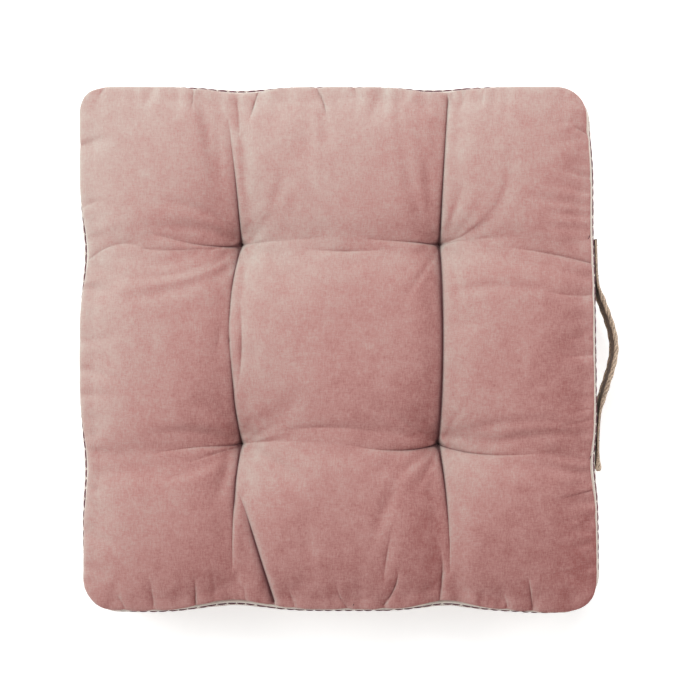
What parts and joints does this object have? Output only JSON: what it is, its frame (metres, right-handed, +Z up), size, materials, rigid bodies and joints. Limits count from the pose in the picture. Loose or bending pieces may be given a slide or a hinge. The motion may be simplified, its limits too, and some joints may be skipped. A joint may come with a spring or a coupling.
{
  "type": "seat cushion",
  "caption": "Square tufted velvet floor cushion with a corded top seam, a woven side band and a webbing carrying strap on one side.",
  "frame": {"origin": "centre of the part's footprint, on the surface that the base rests on", "axes": "+Z up out of the tufted top, +X towards the side with the carrying strap, +Y towards the back edge"},
  "size_m": [0.53, 0.5166, 0.1049],
  "materials": {
    "velvet": "short-pile cotton velvet, dusty rose",
    "woven_band": "heavy flat weave, natural with rows of plum twists",
    "piping_cloth": "natural cotton cord in a woven cover",
    "webbing": "coarse tan braid webbing"
  },
  "bodies": {
    "root": {"velvet_cushion": "velvet", "side_band": "woven_band", "top_piping": "piping_cloth", "handle_strap": "webbing"}
  },
  "joints": []
}
